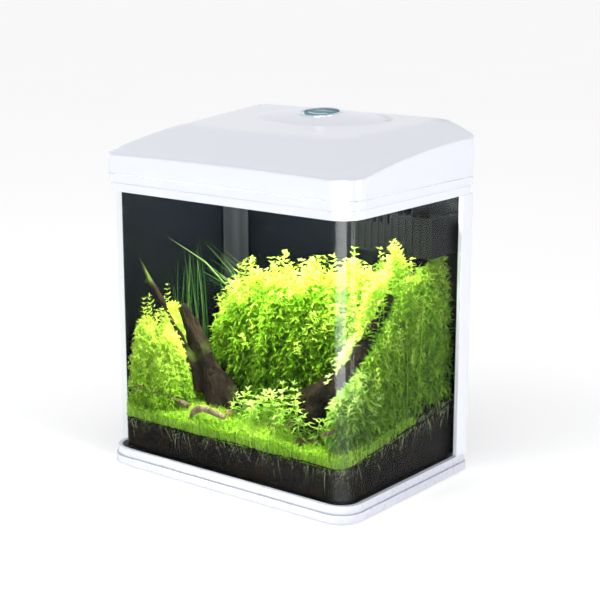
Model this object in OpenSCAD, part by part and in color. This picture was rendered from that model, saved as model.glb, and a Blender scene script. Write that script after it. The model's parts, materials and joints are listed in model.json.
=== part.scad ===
// Small desktop aquarium: bent-glass tank on a low plinth base, with a hinged domed hood
// Origin at the middle of the underside, +X to the right, the front facing -Y, +Z up

/* [Tank] */
// Width of the base, rim and hood
body_w = 230; // [200:5:300]
// Depth of the base, rim and hood, front to back
body_d = 158; // [158:1:158]
// Height of the top edge of the glass
glass_top = 219; // [219:1:219]
// Thickness of the glass
glass_t = 3; // [2.5:0.5:4]
// How far the glass stands in from the base's outline on each side
glass_inset = 5; // [5:0.5:6]
// Outer radius of the glass's bent front corners
glass_bend_r = 15; // [10:1:18]

/* [Base and rim] */
// Front corner radius of the base, rim and hood
front_r = 19.5; // [16:0.5:24]
// Rear corner radius of the base, rim and hood
rear_r = 8; // [5:0.5:10]
// Height of the base's top edge
base_top = 13; // [12:0.5:16]
// Lowest edge of the top rim
rim_bottom = 211.5; // [208:0.5:212]
// Top edge of the top rim
rim_top = 224.3; // [224.3:0.1:224.3]
// Gap between the rim and the closed hood
seam_gap = 0.5; // [0.3:0.1:1]

/* [Hood] */
// Height of the hood's front band at the front corners
band_top = 238.2; // [236:0.2:240]
// Thickness of the hood's wall
hood_wall = 2.2; // [1.8:0.1:2.6]
// Height of the roof's flat top at its rear edge
roof_top = 263.7; // [262:0.1:266]
// Height of the raised oval on the roof
boss_h = 4.6; // [3:0.1:6]
// Radius of the round badge
badge_r = 14.6; // [12:0.1:16]

/* [Planting] */
// Height of the soil at the front glass
soil_front = 37; // [30:1:42]
// Height of the soil at the rear glass
soil_rear = 55; // [45:1:70]

/* [Hidden] */
$fn = 64;
gap = 0.3;
glass_w = body_w - 2 * glass_inset;
glass_d = body_d - 2 * glass_inset;
inner_w = glass_w - 2 * glass_t;
inner_front = -glass_d / 2 + glass_t;
rear_glass_y = glass_d / 2 - glass_t - gap;
back_y = body_d / 2;

foot_x = 92;
foot_y = 56;
foot_r = 8;
foot_h = 2;
band_bottom = 0.8;
groove_bottom = 6.8;
groove_top = 7.4;
groove_inset = 2.2;
step_inset = 1.5;
rim_groove_bottom = 217.6;
rim_groove_top = 218.3;

pad_bottom = 4;
pad_t = 2;
wall_bottom = pad_bottom + pad_t;
floor_top = wall_bottom + gap + glass_t;

post_out = body_w / 2 - 1.1;
post_t = 3.6;
post_back = 78.4;

hinge_y = 73.5;
hinge_z = 231.5;
hinge_x = 62;
hinge_r = 2.8;
pin_r = 1;
pin_clearance = 0.06;
knuckle_w = 6;
ear_w = 3;
ear_gap = 0.4;

hood_bottom = rim_top + seam_gap;
tray_z = 233;
tray_t = 1.5;
lens_w = 132;
lens_d = 36;
lens_y = -4;
led_step = 12;
led_rows = 3;
socket_x = -20;
switch_x = 14;
rear_fit_z = 246;

boss_y = 43;
boss_a = 56;
boss_b = 34;
badge_y = 41;
badge_z = 265.6;
badge_tilt = 5;

box_left = 36;
box_right = inner_w / 2 - 0.6;
box_front = 33;
box_rear = rear_glass_y - gap;
box_bottom = 168;
box_top = 208;
box_wall = 2;
divider_x = 78;
weir_top = 197;
basket_low = box_bottom + box_wall + 1;
basket_high = 205;

pump_x = 92;
pump_z = 183;
pump_half = 11;
rotor_r = 5;
rotor_clearance = 0.06;
riser_y = 43;
riser_r = 5;
riser_top = 198.5;
nozzle_z = 203.6;
nozzle_r = 4.6;

// Heights of the hood's side wall: distance from the middle towards the rear, then height
side_arch = [[-64.6, 238.8], [-43.4, 243.1], [-14, 247.9], [10.3, 249.8], [38, 251.3], [72, 252.8]];
// Right half of the roof's upper edge: across, towards the rear, height
roof_edge = [[0, -37, 257.6], [52, -37, 257.4], [70, -36, 257.2], [79, -29, 257.2], [90, 77.8, 263]];
// Right half of the hood's rear edge: across, height
rear_edge = [[110, 252.3], [103.5, 256.3], [94, 262.6]];

// ---------- shared shapes ----------

// Rounded rectangle, middle at the origin, r = [front radius, rear radius]
module outline(w, d, r) {
    x = w / 2;
    y = d / 2;
    translate([-x + r[0], -y]) square([w - 2 * r[0], d / 2]);
    translate([-x + r[1], 0]) square([w - 2 * r[1], d / 2]);
    translate([-x, -y + r[0]]) square([w, d - r[0] - r[1]]);
    for (side = [-1, 1]) {
        translate([side * (x - r[0]), -y + r[0]]) circle(r[0]);
        translate([side * (x - r[1]), y - r[1]]) circle(r[1]);
    }
}

// A layer of the rounded outline, drawn in from the body's outline by inset
module layer(z0, z1, inset) {
    translate([0, 0, z0])
        linear_extrude(z1 - z0)
            outline(body_w - 2 * inset, body_d - 2 * inset, [front_r - inset, max(rear_r - inset, 1)]);
}

// A layer of the inside of the glass, drawn in by inset
module inner_layer(z0, z1, inset) {
    r = glass_bend_r - glass_t - inset;
    w = inner_w - 2 * inset;
    front = inner_front + inset;
    back = rear_glass_y - inset;
    translate([0, 0, z0])
        linear_extrude(z1 - z0) {
            translate([-w / 2, front + r]) square([w, back - front - r]);
            translate([-w / 2 + r, front]) square([w - 2 * r, back - front]);
            for (side = [-1, 1]) translate([side * (w / 2 - r), front + r]) circle(r);
        }
}

// Bar along X between x0 and x1
module bar_x(x0, x1, y, z, r) {
    translate([x0, y, z]) rotate([0, 90, 0]) cylinder(h = x1 - x0, r = r);
}

// Bar along Y between y0 and y1
module bar_y(x, y0, y1, z, r) {
    translate([x, y0, z]) rotate([-90, 0, 0]) cylinder(h = y1 - y0, r = r);
}

// Box from its lowest to its highest corner
module box(low, high) {
    translate(low) cube(high - low);
}

// Chain of tapered pieces through points [x, y, z, radius]
module branch(points) {
    for (i = [0 : len(points) - 2])
        hull() {
            for (p = [points[i], points[i + 1]])
                translate([p[0], p[1], p[2]]) sphere(r = p[3], $fn = 10);
        }
}

// Rounded mound standing at z, with its top a half ellipse
module mound(x, y, z, r, h) {
    translate([x, y, z])
        rotate_extrude()
            polygon([for (a = [0 : 15 : 90]) [r * cos(a), h * sin(a)], [0, 0]]);
}

// ---------- base ----------

module base_tray() color("white") {
    pocket = glass_inset - 0.3;
    difference() {
        union() {
            layer(band_bottom, groove_bottom, 0);
            layer(groove_bottom, groove_top, groove_inset);
            layer(groove_top, base_top, step_inset);
        }
        layer(pad_bottom, base_top + 1, pocket);
        for (x = [-1, 1], y = [-1, 1])
            translate([x * foot_x, y * foot_y, 0]) cylinder(h = foot_h, r = foot_r + 0.2);
    }
}

module foot_pads() color("dimgray") {
    for (x = [-1, 1], y = [-1, 1])
        translate([x * foot_x, y * foot_y, 0]) cylinder(h = foot_h, r = foot_r);
}

module base_pad() color("gray") {
    layer(pad_bottom, wall_bottom, glass_inset + 0.2);
}

// ---------- glass ----------

module bottom_glass() color("lightcyan", 0.4) {
    inner_layer(wall_bottom + gap, floor_top, gap);
}

module bent_glass() color("lightcyan", 0.4) {
    translate([0, 0, wall_bottom])
        linear_extrude(glass_top - wall_bottom)
            difference() {
                outline(glass_w, glass_d, [glass_bend_r, glass_t]);
                r = glass_bend_r - glass_t;
                translate([-inner_w / 2, inner_front + r]) square([inner_w, glass_d]);
                translate([-inner_w / 2 + r, inner_front]) square([inner_w - 2 * r, glass_d]);
                for (side = [-1, 1])
                    translate([side * (inner_w / 2 - r), inner_front + r]) circle(r);
            }
}

module rear_glass() color("lightcyan", 0.4) {
    x = inner_w / 2 - gap;
    box([-x, rear_glass_y, wall_bottom], [x, rear_glass_y + glass_t, glass_top]);
}

module rear_background() color("#1f2a33") {
    x = glass_w / 2 - 1;
    box([-x, glass_d / 2 + 0.1, base_top + 0.5], [x, glass_d / 2 + 0.5, rim_bottom - 0.5]);
}

module side_background() color("#1f2a33") {
    x = -glass_w / 2 - 0.1;
    front = -glass_d / 2 + glass_bend_r;
    box([x - 0.25, front, base_top + 0.5], [x, 61, rim_bottom - 0.5]);
}

module glass_seams() color("whitesmoke", 0.6) {
    bead = 2;
    x = inner_w / 2;
    for (side = [-1, 1])
        translate([side * x, rear_glass_y, floor_top])
            linear_extrude(glass_top - floor_top - 4)
                polygon([[0, 0], [-side * bead, 0], [0, -bead]]);
    translate([-x + bead, rear_glass_y, floor_top])
        rotate([90, 0, 90])
            linear_extrude(2 * (x - bead))
                polygon([[0, 0], [-bead, 0], [0, bead]]);
    translate([-x + glass_bend_r, inner_front, floor_top])
        rotate([90, 0, 90])
            linear_extrude(inner_w - 2 * glass_bend_r)
                polygon([[0, 0], [bead, 0], [0, bead]]);
}

// ---------- corner posts and rim ----------

// Angle section that covers a rear corner of the glass, side = -1 left or 1 right
module corner_post(side) {
    translate([0, 0, base_top])
        linear_extrude(rim_bottom - base_top)
            scale([side, 1])
                difference() {
                    union() {
                        translate([post_out - post_t, 62]) square([post_t, post_back - 62 - 4]);
                        translate([98, post_back - post_t]) square([post_out - 98 - 4, post_t]);
                        translate([post_out - 4, post_back - 4]) circle(4);
                    }
                    translate([98 - 1, 61]) square([post_out - post_t - 97, post_back - post_t - 61]);
                }
}

module corner_post_left() color("white") corner_post(-1);

module corner_post_right() color("white") corner_post(1);

// Ears on the rim that carry one hinge pin
module hinge_ears(x) {
    for (side = [-1, 1]) {
        x0 = x + side * (knuckle_w / 2 + ear_gap + ear_w / 2) - ear_w / 2;
        bar_x(x0, x0 + ear_w, hinge_y, hinge_z, hinge_r);
        box([x0, hinge_y - hinge_r, rim_top - 1], [x0 + ear_w, hinge_y + hinge_r, hinge_z]);
    }
}

module top_rim() color("white") {
    difference() {
        union() {
            layer(rim_bottom, rim_groove_bottom, step_inset);
            layer(rim_groove_bottom, rim_groove_top, groove_inset);
            layer(rim_groove_top, rim_top, 0);
            for (x = [-hinge_x, hinge_x]) hinge_ears(x);
        }
        layer(rim_bottom - 1, glass_top + gap, glass_inset - 0.3);
        layer(glass_top, rim_top + 1, glass_inset + 5.5);
        for (x = [-hinge_x, hinge_x])
            bar_x(x - 10, x + 10, hinge_y, hinge_z, pin_r);
        box([96, 60, rim_top - 2.5], [102, back_y + 1, rim_top + 1]);
    }
}

module hinge_pins() color("silver") {
    reach = knuckle_w / 2 + ear_gap + ear_w;
    for (x = [-hinge_x, hinge_x]) bar_x(x - reach, x + reach, hinge_y, hinge_z, pin_r);
}

// ---------- filter cabinet ----------

module filter_cabinet() color("#22262b") {
    inside = [box_left + box_wall, box_front + box_wall, box_bottom + box_wall];
    difference() {
        union() {
            box([box_left, box_front, box_bottom], [box_right, box_rear, box_top]);
            for (x = [box_left + 5 : 6 : box_right - 4])
                box([x, box_front - 0.9, box_bottom + 2], [x + 1.2, box_front + 1, weir_top - 2]);
        }
        box(inside, [divider_x, box_rear - box_wall, box_top + 1]);
        box([divider_x + box_wall, inside[1], inside[2]],
            [box_right - box_wall, box_rear - box_wall, box_top + 1]);
        box([divider_x - 1, box_front - 2, weir_top], [box_right + 1, box_rear - box_wall, box_top + 1]);
        for (x = [box_left + 7.6 : 6 : divider_x - 5])
            box([x, box_front - 2, box_top - 18], [x + 2.2, box_front + 4, box_top - 5]);
        for (y = [box_front + 9 : 6 : box_rear - 8])
            box([box_left - 1, y, box_top - 18], [box_left + 4, y + 2.2, box_top - 5]);
        box([divider_x - 1, 44, inside[2] + 1], [divider_x + 4, 60, inside[2] + 7]);
        seam_relief();
    }
}

// Cuts back the cabinet's rear edge where the glass corner is sealed
module seam_relief() {
    cut = 2;
    translate([box_right, box_rear, box_bottom - 1])
        linear_extrude(box_top - box_bottom + 2)
            polygon([[-cut - 1, 1], [1, -cut - 1], [1, 1]]);
}

module media_basket() color("#30353b") {
    low = [box_left + box_wall + 1, box_front + box_wall + 1, basket_low];
    high = [divider_x - 1, box_rear - box_wall - 0.8, basket_high];
    t = 1.4;
    difference() {
        box(low, high);
        box(low + [t, t, t], [high[0] - t, high[1] - t, high[2] + 1]);
        for (x = [low[0] + 4 : 5 : high[0] - 5], y = [low[1] + 4 : 5 : high[1] - 5])
            box([x, y, low[2] - 1], [x + 2.4, y + 2.4, low[2] + 2]);
        for (x = [low[0] + 6 : 6 : high[0] - 7])
            box([x, low[1] - 1, high[2] - 16], [x + 3, low[1] + 2, high[2] - 5]);
    }
}

// Block that fills the basket between two heights
module media_block(z0, z1) {
    inset = 3;
    box([box_left + box_wall + inset, box_front + box_wall + inset, z0],
        [divider_x - inset, box_rear - box_wall - inset, z1]);
}

module ceramic_media() color("linen") {
    r = 3;
    first = [box_left + box_wall + 3 + r, box_front + box_wall + 3 + r];
    for (ix = [0 : 4], iy = [0 : 3])
        translate([first[0] + ix * 6.8, first[1] + iy * 7, basket_low + 1.8])
            difference() {
                cylinder(h = 7.5, r = r, $fn = 24);
                translate([0, 0, -1]) cylinder(h = 10, r = 1.4, $fn = 24);
            }
}

module filter_sponge() color("#2f6f9f") {
    media_block(basket_low + 10, basket_low + 19);
}

module filter_floss() color("white") {
    media_block(basket_low + 19.5, basket_low + 25);
}

// ---------- pump ----------

module pump_housing() color("#2a2d33") {
    difference() {
        union() {
            box([pump_x - pump_half, 47, pump_z - pump_half], [pump_x + pump_half, 67.5, pump_z + pump_half]);
            bar_y(pump_x, 46, 47, pump_z, 8);
        }
        bar_y(pump_x, 45, 64, pump_z, rotor_r + rotor_clearance);
        bar_y(pump_x, 60, 66, pump_z, 0.75);
    }
}

module pump_cover() color("#363a41") {
    difference() {
        union() {
            box([pump_x - pump_half, 38.5, pump_z - pump_half], [pump_x + pump_half, 46, pump_z + pump_half]);
            translate([pump_x, riser_y, pump_z + pump_half - 1]) cylinder(h = 3, r = 3.9);
        }
        bar_y(pump_x, 40.5, 47, pump_z, 9);
        translate([pump_x, riser_y, pump_z]) cylinder(h = 30, r = 2.4);
        bar_y(pump_x, 37, 42, pump_z, 3);
        bar_y(pump_x, 37, 39.4, pump_z, 6.3);
    }
}

module impeller_shaft() color("white") {
    bar_y(pump_x, 40.8, 66, pump_z, 0.75);
}

module pump_impeller() color("#1d1f22") {
    difference() {
        union() {
            bar_y(pump_x, 46.4, 63, pump_z, rotor_r);
            bar_y(pump_x, 41.2, 46.5, pump_z, 2);
            for (a = [0 : 60 : 300])
                translate([pump_x, 41.4, pump_z])
                    rotate([0, a, 0])
                        box([0, 0, -0.5], [7.6, 4, 0.5]);
        }
        bar_y(pump_x, 40, 64, pump_z, 0.75 + rotor_clearance);
    }
}

module flow_dial() color("#4a4f57") {
    difference() {
        union() {
            bar_y(pump_x, 37.7, 39.3, pump_z, 6);
            box([pump_x - 1, 36.9, pump_z - 5], [pump_x + 1, 37.8, pump_z + 5]);
        }
        for (side = [-1, 1]) bar_y(pump_x + side * 3.4, 36, 40, pump_z, 1.3);
    }
}

module pump_feet() color("#55606b") {
    for (x = [-8, 8], y = [42.5, 62])
        translate([pump_x + x, y, box_bottom + box_wall])
            cylinder(h = pump_z - pump_half - box_bottom - box_wall, r = 2.4);
}

module outlet_tube() color("#2a2d33") {
    z0 = pump_z + pump_half + 0.2;
    translate([pump_x, riser_y, z0])
        difference() {
            cylinder(h = riser_top - z0, r = riser_r);
            translate([0, 0, -1]) cylinder(h = riser_top - z0 + 2, r = 4);
        }
}

module outlet_nozzle() color("#2a2d33") {
    difference() {
        union() {
            translate([pump_x, riser_y, riser_top - 2]) cylinder(h = 3, r = 3.94);
            translate([pump_x, riser_y, riser_top + 0.2])
                cylinder(h = nozzle_z + nozzle_r - riser_top, r = riser_r);
            bar_y(pump_x, riser_y - 20, riser_y, nozzle_z, nozzle_r);
        }
        translate([pump_x, riser_y, riser_top - 3]) cylinder(h = nozzle_z - riser_top + 3, r = 2.8);
        bar_y(pump_x, riser_y - 21, riser_y, nozzle_z, 3.4);
    }
}

// ---------- planting ----------

// Height of the soil at a distance y towards the rear
function soil_z(y) = soil_front + (soil_rear - soil_front) * (y - inner_front) / (rear_glass_y - inner_front);

// Slab between two heights above the soil, from y0 to y1
module over_soil(y0, y1, low, high) {
    translate([-body_w / 2, 0, 0])
        rotate([90, 0, 90])
            linear_extrude(body_w)
                polygon([[y0, soil_z(y0) + low], [y1, soil_z(y1) + low],
                         [y1, soil_z(y1) + high], [y0, soil_z(y0) + high]]);
}

// Lift of a plant's base, so that it clears the carpet in front and the sloping soil behind
function lift(y, r) = y - r > 30 ? 0.5 + 0.13 * r : 9.2;

// Group of mounds [x, y, radius, height] standing on the soil
module mounds(list) {
    for (m = list) mound(m[0], m[1], soil_z(m[1]) + lift(m[1], m[2]), m[2], m[3]);
}

module soil_bed() color("#2a1d14") {
    intersection() {
        inner_layer(floor_top + 3.2, 80, gap);
        over_soil(inner_front - 1, rear_glass_y + 1, -60, 0);
    }
}

module driftwood_left() color("#3b2a1e") {
    branch([[-72, -28, 113, 7], [-64, -28, 98, 9.5], [-55, -28, 80, 10.5],
            [-44, -28, 63, 12], [-36, -28, 49, 13]]);
    branch([[-103, -47, 152, 1.2], [-91, -43, 131, 1.8], [-86, -42, 123, 3], [-75, -40, 106, 2.4],
            [-62, -35, 88, 3]]);
}

module driftwood_right() color("#3b2a1e") {
    branch([[86, 8, 140, 3], [85, -14, 112, 5], [78, -32, 90, 7], [60, -34, 76, 9], [44, -32, 64, 9],
            [34, -30, 50, 8]]);
}

module wood_twigs() color("#4a3526") {
    branch([[-99, -64, 54, 1.5], [-90, -64, 60, 1.8], [-70, -61, 59, 1.8], [-50, -55, 52, 2]]);
    branch([[-8, -62, 51, 2], [-36, -62, 52, 2.6], [-42, -66, 38, 1.6]]);
    branch([[80, -62, 56, 1.4], [92, -56, 59, 1.6], [97, -42, 58, 1.6], [97, 0, 59, 1.8], [97, 22, 62, 1.3]]);
    branch([[97, 26, 80, 1.4], [97, 62, 86, 1.1]]);
    branch([[95, 56, 54, 3], [96, 65, 80, 2.4]]);
}

module stones() color("#6d5a48") {
    for (s = [[30, -52, 8], [57, -54, 7], [-20, -44, 7]])
        translate([s[0], s[1], soil_z(s[1]) + 0.5 * s[2]])
            hull() {
                sphere(r = s[2], $fn = 12);
                translate([0.5 * s[2], 0.3 * s[2], -0.2 * s[2]]) sphere(r = 0.8 * s[2], $fn = 12);
            }
}

module carpet_plants() color("#8fbf1f") {
    intersection() {
        inner_layer(floor_top, 110, 0.8);
        over_soil(inner_front, 30, 0.4, 7);
    }
}

module left_plants() color("#7ccf10") {
    mounds([[-90, -52, 14, 69], [-66, -51, 10.5, 50], [-90, -16, 13, 66]]);
}

module rear_plants() color("#8fd21a") {
    mounds([[-50, 10, 20, 80], [-14, 6, 20, 103], [22, 8, 15, 103],
            [-78, 52, 16, 70], [-22, 52, 14, 80], [12, 52, 14, 80]]);
}

module right_plants() color("#9bdc22") {
    mounds([[91, -44, 13, 60], [90, -14, 14, 104], [90, 16, 14, 106],
            [60, 14, 15, 100], [88, 52, 14, 106], [52, 52, 14, 104]]);
}

module reed_plants() color("#4c7a1c") {
    mounds([[-62, 36, 5, 104], [-40, 40, 5, 108]]);
}

// ---------- hood ----------

// Solid outer form of the hood, drawn in by inset
module hood_form(inset, bottom) {
    edge = 1.2;
    hull() {
        layer(bottom, band_top - inset, inset);
        for (side = [-1, 1]) {
            translate([side * 50, -back_y + inset + edge, 239.4 - inset - edge])
                sphere(r = edge, $fn = 12);
            for (p = side_arch)
                translate([side * (body_w / 2 - 0.2 - inset - edge), p[0], p[1] - inset - edge])
                    sphere(r = edge, $fn = 12);
            for (p = roof_edge)
                translate([side * (p[0] - inset), p[1] - inset * (p[1] > 0 ? 1 : -1), p[2] - inset - edge])
                    sphere(r = edge, $fn = 12);
            for (p = rear_edge)
                translate([side * (p[0] - inset - edge), back_y - inset - edge, p[1] - inset - edge])
                    sphere(r = edge, $fn = 12);
        }
        translate([0, back_y - inset - edge, roof_top - inset - edge]) sphere(r = edge, $fn = 12);
    }
}

// Low raised oval on the roof
module roof_boss() {
    slope = 2.9;
    translate([0, boss_y, 260.6])
        rotate([slope, 0, 0])
            hull() {
                for (s = [[1, 1.4], [0.93, 2.6], [0.8, 4.2], [0.6, 5.4], [0.35, 1.4 + boss_h]])
                    translate([0, 0, s[1] - 1])
                        linear_extrude(0.1)
                            polygon([for (a = [0 : 10 : 350])
                                [s[0] * boss_a * cos(a), s[0] * boss_b * sin(a)]]);
            }
}

// Places its children on the badge's seat
module at_badge() {
    translate([0, badge_y, badge_z]) rotate([badge_tilt, 0, 0]) children();
}

module hood_shell() color("white") {
    difference() {
        union() {
            hood_form(0, hood_bottom);
            roof_boss();
        }
        hood_form(hood_wall, hood_bottom - 1);
        box([-body_w, 75.3, hood_bottom - 1], [body_w, back_y + 1, hood_bottom + 2.6]);
        at_badge() translate([0, 0, -2]) cylinder(h = 12, r = badge_r + 2.5);
        bar_y(socket_x, back_y - 6, back_y + 1, rear_fit_z, 5);
        box([switch_x - 7, back_y - 6, rear_fit_z - 8.5], [switch_x + 7, back_y + 1, rear_fit_z + 8.5]);
        for (x = [-hinge_x, hinge_x])
            box([x - 7.2, 75.5, hood_bottom - 1], [x + 7.2, back_y + 1, hinge_z + 7.8]);
        for (x = [-hinge_x, hinge_x], side = [-1, 1])
            bar_y(x + side * 6, back_y - 6, back_y - 0.6, 243, 0.9);
    }
}

module badge_ring() color("#b9d3e0") {
    at_badge()
        rotate_extrude()
            polygon([[badge_r + 0.1, -2], [badge_r + 2.4, -2], [badge_r + 2.4, 0.2],
                     [badge_r + 1.2, 0.9], [badge_r + 0.1, 0.3]]);
}

module badge_plate() color("#5f8a97") {
    at_badge()
        translate([0, 0, -2])
            rotate_extrude()
                polygon([[0, 0], [badge_r, 0], [badge_r, 1.9], [badge_r * 0.6, 2.25], [0, 2.4]]);
}

module lamp_tray() color("white") {
    w = body_w - 2 * hood_wall - 1.2;
    difference() {
        intersection() {
            layer(tray_z, tray_z + tray_t, hood_wall + 0.6);
            box([-w / 2, -back_y, tray_z], [w / 2, 68, tray_z + tray_t]);
        }
        box([-lens_w / 2 + 4, lens_y - lens_d / 2 + 4, tray_z - 1],
            [lens_w / 2 - 4, lens_y + lens_d / 2 - 4, tray_z + tray_t + 1]);
        for (x = [-1, 1], y = [-1, 1])
            translate([x * 60, lens_y + y * 15, tray_z - 1]) cylinder(h = 4, r = 1.1);
        for (x = [-100 : 10 : 100], y = [-50, 48])
            box([x - 2, y - 6, tray_z - 1], [x + 2, y + 6, tray_z + 3]);
    }
}

module lamp_lens() color("white", 0.5) {
    difference() {
        box([-lens_w / 2, lens_y - lens_d / 2, tray_z - 3], [lens_w / 2, lens_y + lens_d / 2, tray_z]);
        box([-lens_w / 2 + 5, lens_y - lens_d / 2 + 6, tray_z - 1.8],
            [lens_w / 2 - 5, lens_y + lens_d / 2 - 6, tray_z + 1]);
        for (x = [-1, 1], y = [-1, 1])
            translate([x * 60, lens_y + y * 15, tray_z - 4]) cylinder(h = 6, r = 1.1);
    }
}

module led_board() color("seagreen") {
    difference() {
        box([-63, lens_y - 17, tray_z + tray_t], [63, lens_y + 17, tray_z + tray_t + 1.6]);
        for (x = [-1, 1], y = [-1, 1])
            translate([x * 60, lens_y + y * 15, tray_z]) cylinder(h = 6, r = 1.1);
    }
}

module led_chips() color("#fff3c0") {
    for (x = [-4 : 4], row = [-1 : led_rows - 2])
        translate([x * led_step, lens_y + row * 8, tray_z + tray_t - 0.9])
            translate([-1.75, -1.4, 0]) cube([3.5, 2.8, 0.9]);
}

module tray_screws() color("silver") {
    for (x = [-1, 1], y = [-1, 1])
        translate([x * 60, lens_y + y * 15, tray_z - 4.2]) {
            difference() {
                cylinder(h = 1.2, r = 2);
                translate([-1.5, -0.25, -0.1]) cube([3, 0.5, 0.6]);
                translate([-0.25, -1.5, -0.1]) cube([0.5, 3, 0.6]);
            }
            cylinder(h = 8.6, r = 1);
        }
}

module hinge_knuckles() color("white") {
    inner_back = back_y - hood_wall - 0.1;
    for (x = [-hinge_x, hinge_x])
        difference() {
            union() {
                bar_x(x - knuckle_w / 2, x + knuckle_w / 2, hinge_y, hinge_z, hinge_r);
                box([x - knuckle_w / 2, hinge_y, hinge_z], [x + knuckle_w / 2, inner_back, hinge_z + 6]);
                box([x - 10, inner_back - 1.6, hinge_z + 5], [x + 10, inner_back, hinge_z + 16]);
            }
            bar_x(x - 5, x + 5, hinge_y, hinge_z, pin_r + pin_clearance);
            for (side = [-1, 1])
                bar_y(x + side * 6, inner_back - 3, inner_back + 1, 243, 1);
        }
}

module hinge_screws() color("silver") {
    seat = back_y - hood_wall - 1.7;
    for (x = [-hinge_x, hinge_x], side = [-1, 1]) {
        bar_y(x + side * 6, seat - 1.2, seat, 243, 1.8);
        bar_y(x + side * 6, seat, back_y - 0.6, 243, 0.88);
    }
}

module power_socket() color("#2b2b2b") {
    difference() {
        union() {
            bar_y(socket_x, back_y - 1.2, back_y, rear_fit_z, 4.9);
            bar_y(socket_x, back_y - 14, back_y - 1, rear_fit_z, 4.2);
        }
        bar_y(socket_x, back_y - 10, back_y + 1, rear_fit_z, 2.85);
    }
    bar_y(socket_x, back_y - 10.5, back_y - 1.5, rear_fit_z, 1.05);
}

module switch_body() color("#2b2b2b") {
    difference() {
        box([switch_x - 6.8, back_y - 13, rear_fit_z - 8.3], [switch_x + 6.8, back_y, rear_fit_z + 8.3]);
        box([switch_x - 5, back_y - 11.5, rear_fit_z - 6.4], [switch_x + 5, back_y + 1, rear_fit_z + 6.4]);
        bar_x(switch_x - 6, switch_x + 6, back_y - 6, rear_fit_z, 1.06);
    }
}

module switch_rocker() color("#3c3c3c") {
    off_tilt = -8;
    translate([switch_x, back_y - 6, rear_fit_z])
        rotate([off_tilt, 0, 0])
            difference() {
                union() {
                    bar_x(-4.6, 4.6, 0, 0, 5);
                    bar_x(-5.9, 5.9, 0, 0, 1);
                }
                bar_x(-10, 10, 7.6, 0, 4);
            }
}

module lamp_wires() color("#c0392b") {
    for (side = [-1, 1]) {
        x = socket_x + side * 2;
        r = 0.7;
        bar_y(x, 20, back_y - 14.2, rear_fit_z, r);
        translate([x, 20, tray_z + tray_t + 1.8]) cylinder(h = rear_fit_z - tray_z - tray_t - 1.8, r = r);
        translate([x, 20, rear_fit_z]) sphere(r = r);
        bar_y(x, lens_y + 12, 20, tray_z + tray_t + 2.5, r);
        translate([x, 20, tray_z + tray_t + 2.5]) sphere(r = r);
    }
}

base_tray();
foot_pads();
base_pad();
bottom_glass();
bent_glass();
rear_glass();
rear_background();
side_background();
glass_seams();
corner_post_left();
corner_post_right();
top_rim();
hinge_pins();
filter_cabinet();
pump_housing();
pump_cover();
impeller_shaft();
pump_feet();
outlet_tube();
pump_impeller();
flow_dial();
outlet_nozzle();
media_basket();
filter_sponge();
filter_floss();
ceramic_media();
soil_bed();
driftwood_left();
driftwood_right();
wood_twigs();
stones();
carpet_plants();
left_plants();
rear_plants();
right_plants();
reed_plants();
hood_shell();
badge_ring();
badge_plate();
lamp_tray();
led_board();
led_chips();
lamp_lens();
tray_screws();
hinge_knuckles();
hinge_screws();
power_socket();
switch_body();
switch_rocker();
lamp_wires();
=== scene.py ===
"""Looks for the desktop aquarium: hood, glass, planting and the materials of every part."""
import json
import math

import bpy
import numpy as np
from mathutils import Matrix, Vector, noise


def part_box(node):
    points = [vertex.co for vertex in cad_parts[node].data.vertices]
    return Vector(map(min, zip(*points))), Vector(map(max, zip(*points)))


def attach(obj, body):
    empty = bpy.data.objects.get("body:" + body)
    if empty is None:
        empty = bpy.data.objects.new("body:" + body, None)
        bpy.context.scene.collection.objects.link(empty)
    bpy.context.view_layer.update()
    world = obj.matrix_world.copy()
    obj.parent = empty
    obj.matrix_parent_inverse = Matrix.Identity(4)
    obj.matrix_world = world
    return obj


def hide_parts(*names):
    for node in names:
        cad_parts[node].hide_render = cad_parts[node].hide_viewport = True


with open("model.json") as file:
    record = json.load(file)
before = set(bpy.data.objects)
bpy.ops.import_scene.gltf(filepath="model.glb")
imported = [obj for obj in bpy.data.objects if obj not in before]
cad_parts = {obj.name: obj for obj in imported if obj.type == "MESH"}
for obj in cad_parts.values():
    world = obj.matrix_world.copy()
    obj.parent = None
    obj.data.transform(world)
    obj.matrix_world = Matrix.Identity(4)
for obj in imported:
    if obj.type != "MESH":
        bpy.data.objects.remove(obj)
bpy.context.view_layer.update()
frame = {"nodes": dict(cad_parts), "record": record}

MM = 0.001
SEED = 7
NODES = frame["nodes"]
rng = np.random.default_rng(SEED)

# ---------------------------------------------------------------- camera, light, floor

VIEW_AZIMUTH = math.radians(38.0)
VIEW_ELEVATION = math.radians(13.4)
VIEW_DISTANCE = 1.099
AIM = Vector((0.0131, 0.0, 0.1311))
LENS = 88.93


def around(azimuth, elevation, distance, target):
    """Point at that azimuth, elevation and distance from target."""
    back = Vector((math.sin(azimuth) * math.cos(elevation),
                   -math.cos(azimuth) * math.cos(elevation),
                   math.sin(elevation)))
    return target + back * distance


def look_at(obj, target):
    """Turns a camera or light to face target."""
    obj.rotation_euler = (Vector(target) - obj.location).to_track_quat("-Z", "Y").to_euler()


def make_camera():
    camera = bpy.data.objects.new("camera", bpy.data.cameras.new("camera"))
    bpy.context.scene.collection.objects.link(camera)
    camera.location = around(VIEW_AZIMUTH, VIEW_ELEVATION, VIEW_DISTANCE, AIM)
    look_at(camera, AIM)
    camera.data.lens = LENS
    camera.data.sensor_width = 36
    camera.data.clip_start = 0.05
    camera.data.clip_end = 20
    bpy.context.scene.camera = camera


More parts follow.
